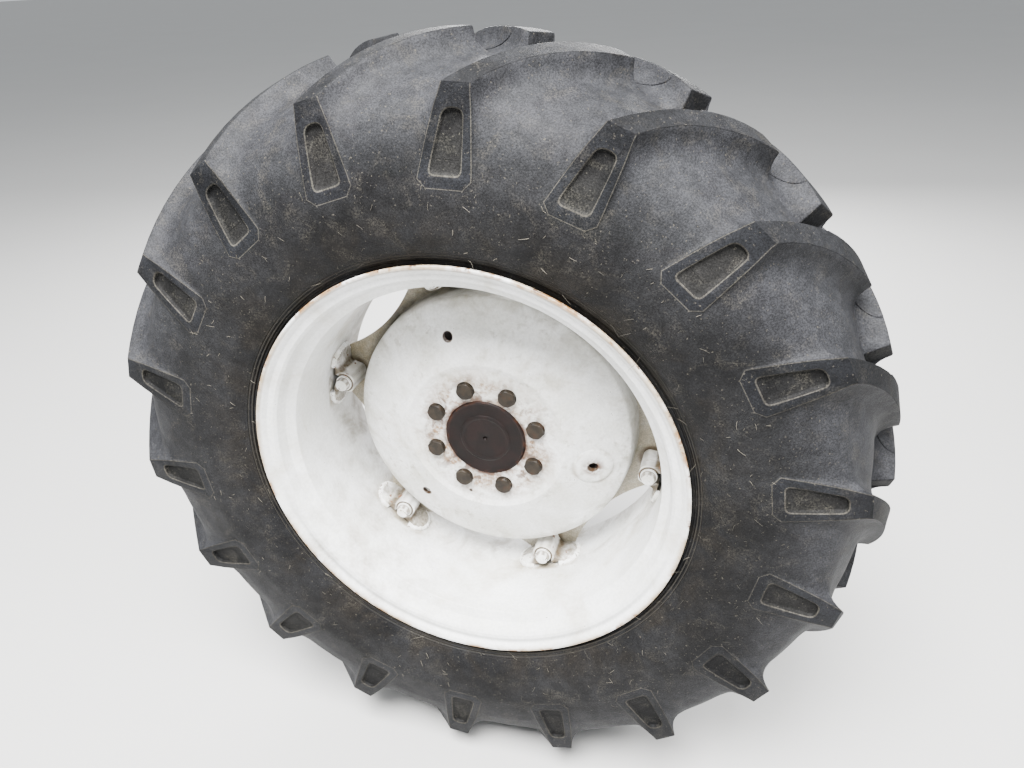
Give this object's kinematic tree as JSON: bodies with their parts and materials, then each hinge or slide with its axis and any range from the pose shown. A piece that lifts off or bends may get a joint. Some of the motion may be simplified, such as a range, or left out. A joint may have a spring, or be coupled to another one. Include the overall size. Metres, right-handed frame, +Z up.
{
  "type": "farm tractor rear wheel with axle end",
  "caption": "Lugged rear drive wheel of a farm tractor on a white steel rim and dished disc, bolted to an axle shaft that turns in its housing end.",
  "frame": {"origin": "centre of the machined face by which the axle housing is bolted to the tractor, on the wheel's axis", "axes": "+Z up, +X the way the tractor drives, +Y along the axle, in towards the tractor, so that the wheel's outer face looks towards -Y"},
  "size_m": [1.3708, 0.6067, 1.3708],
  "materials": {
    "tyre_rubber": "weathered dark grey rubber",
    "rim_paint": "off-white paint, stained and rusty at the lip",
    "disc_paint": "off-white paint with dirt in the corners",
    "painted_bolts": "bolts painted over in off-white",
    "bolt_steel": "dark dull steel, olive brown",
    "forged_steel": "dark brown oxidised steel",
    "housing_paint": "dull red paint over a casting, faded and dusty"
  },
  "bodies": {
    "axle_housing": {"axle_housing": "housing_paint"},
    "wheel": {"tyre": "tyre_rubber", "rim": "rim_paint", "disc": "disc_paint", "rim_lug_1": "rim_paint", "rim_lug_2": "rim_paint", "rim_lug_3": "rim_paint", "rim_lug_4": "rim_paint", "rim_lug_5": "rim_paint", "rim_lug_6": "rim_paint", "clamp_bolts": "painted_bolts", "clamp_nuts": "painted_bolts", "wheel_bolts": "bolt_steel", "axle_shaft": "forged_steel"}
  },
  "joints": [
    {"name": "wheel_spin", "type": "hinge", "parent": "axle_housing", "child": "wheel", "pos_m": [0, -0.318, 0], "axis": [0, 1, 0], "continuous": true}
  ]
}
